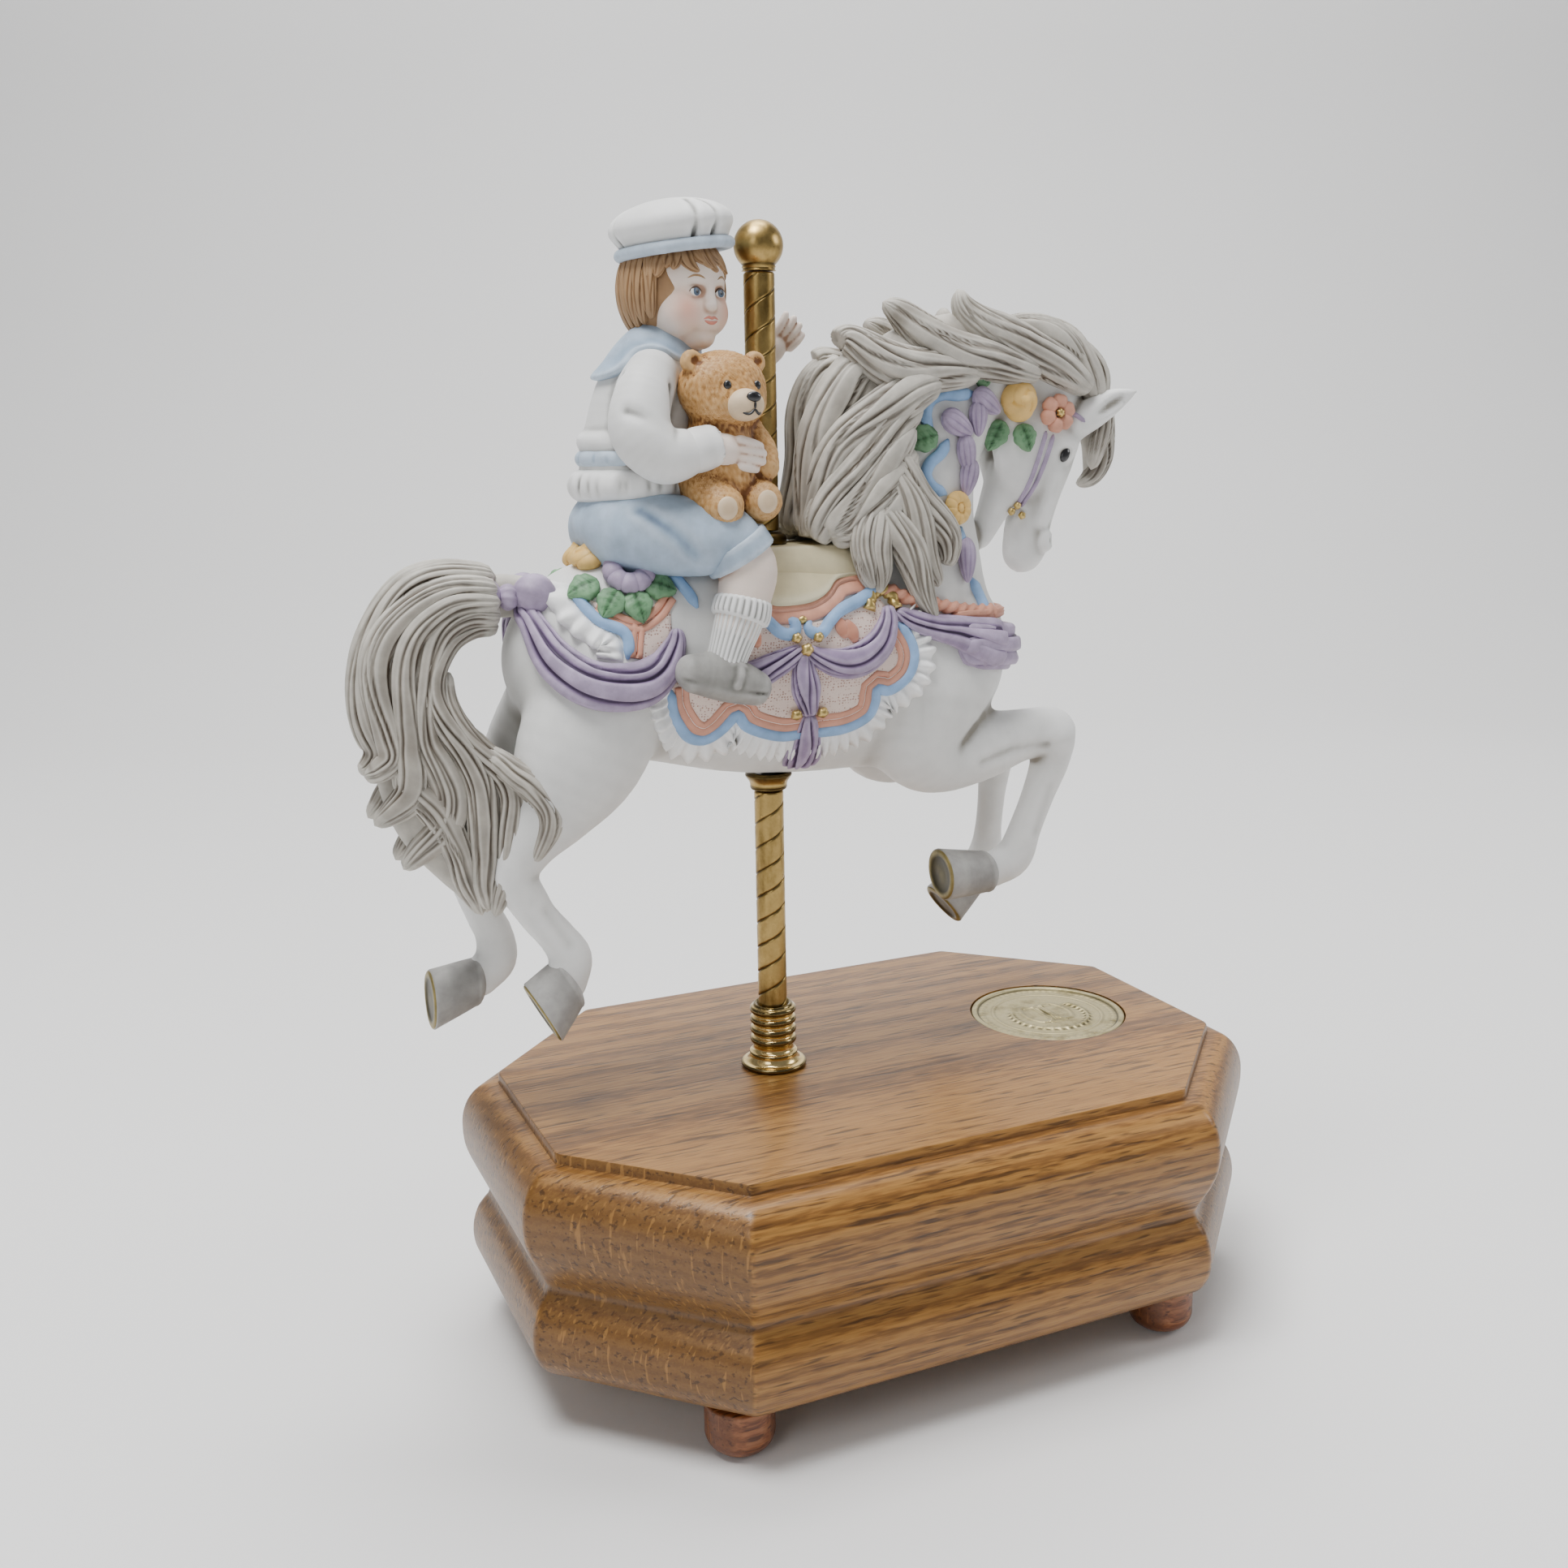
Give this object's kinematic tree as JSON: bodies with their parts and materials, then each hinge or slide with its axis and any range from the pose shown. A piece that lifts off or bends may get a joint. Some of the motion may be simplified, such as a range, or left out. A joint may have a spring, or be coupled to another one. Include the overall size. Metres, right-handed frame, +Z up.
{
  "type": "wind up music box",
  "caption": "Clockwork music box: an octagonal moulded oak base on button feet, with a brass pole that lifts a porcelain carousel horse and rider.",
  "frame": {"origin": "on the surface the feet stand on, under the middle of the whole object's outline", "axes": "+X is the way the horse faces, along the base; +Y is to the horse's left; +Z is up, along the pole"},
  "size_m": [0.2459, 0.1514, 0.3032],
  "materials": {
    "oak": "satin varnish",
    "foot_oak": "satin varnish, redder",
    "cover_board": "bare board",
    "brass": "polished, slightly tarnished",
    "medallion_brass": "pale, matte struck disc",
    "steel": "bright",
    "bisque": "matte unglazed porcelain, hand painted",
    "rider_bisque": "matte unglazed porcelain, hand painted",
    "bear_bisque": "matte unglazed porcelain, tan"
  },
  "bodies": {
    "base": {"oak_base": "oak", "foot_1": "foot_oak", "foot_2": "foot_oak", "foot_3": "foot_oak", "foot_4": "foot_oak", "bottom_cover": "cover_board", "medallion": "medallion_brass", "pole_ferrule": "brass", "guide_bush": "brass", "bedplate": "brass", "front_bearing": "brass", "rear_bearing": "brass", "comb_base": "brass", "barrel_bridge": "brass", "governor_bracket": "brass", "guide_pin": "steel", "cover_screw_1": "steel", "cover_screw_2": "steel", "cover_screw_3": "steel", "cover_screw_4": "steel", "movement_screw_1": "steel", "movement_screw_2": "steel", "movement_screw_3": "steel", "comb": "steel", "comb_screw_1": "steel", "comb_screw_2": "steel"},
    "pole_and_horse": {"pole_rod": "steel", "lower_pole_sleeve": "brass", "upper_pole_sleeve": "brass", "belly_collar": "brass", "saddle_collar": "brass", "ball_finial": "brass", "horse": "bisque", "rider": "rider_bisque", "teddy_bear": "bear_bisque", "follower_shoe": "brass"},
    "cylinder": {"cylinder_arbor": "steel", "heart_cam": "steel", "pinned_cylinder": "brass", "cylinder_wheel": "brass", "cylinder_pinion": "brass"},
    "barrel": {"spring_barrel": "brass", "barrel_cap": "brass", "mainspring": "steel"},
    "governor_wheel": {"governor_wheel": "brass"},
    "governor_fan": {"governor_fan": "steel"},
    "key": {"winding_key": "brass", "winding_arbor": "steel", "ratchet_wheel": "steel"},
    "click": {"ratchet_click": "steel"}
  },
  "joints": [
    {"name": "pole_lift", "type": "slide", "parent": "base", "child": "pole_and_horse", "axis": [0, 0, 1], "range_m": [0, 0.01]},
    {"name": "cylinder_turn", "type": "hinge", "parent": "base", "child": "cylinder", "pos_m": [-0.0153, 0, 0.0345], "axis": [1, 0, 0], "range_deg": [0, 180]},
    {"name": "barrel_turn", "type": "hinge", "parent": "base", "child": "barrel", "pos_m": [0.0426, 0, 0.0285], "axis": [0, 0, 1], "range_deg": [-60, 0]},
    {"name": "governor_wheel_turn", "type": "hinge", "parent": "base", "child": "governor_wheel", "pos_m": [-0.0007, 0.015, 0.0345], "axis": [1, 0, 0], "range_deg": [-720, 0]},
    {"name": "governor_fan_spin", "type": "hinge", "parent": "base", "child": "governor_fan", "pos_m": [-0.0007, 0.02417, 0.0345], "axis": [0, 0, 1], "range_deg": [0, 17280]},
    {"name": "key_wind", "type": "hinge", "parent": "base", "child": "key", "pos_m": [0.0426, 0, 0.002], "axis": [0, 0, 1], "continuous": true},
    {"name": "click_lift", "type": "hinge", "parent": "base", "child": "click", "pos_m": [0.0482, 0.0104, 0.0347], "axis": [0, 0, -1], "range_deg": [0, 10], "stiffness_Nm_per_rad": 0.0005}
  ],
  "couplings": [
    {"joint": "cylinder_turn", "follows": "pole_lift", "rad_per_m": 314.16},
    {"joint": "barrel_turn", "follows": "pole_lift", "rad_per_m": -104.72},
    {"joint": "governor_wheel_turn", "follows": "pole_lift", "rad_per_m": -1256.6},
    {"joint": "governor_fan_spin", "follows": "pole_lift", "rad_per_m": 30159}
  ]
}
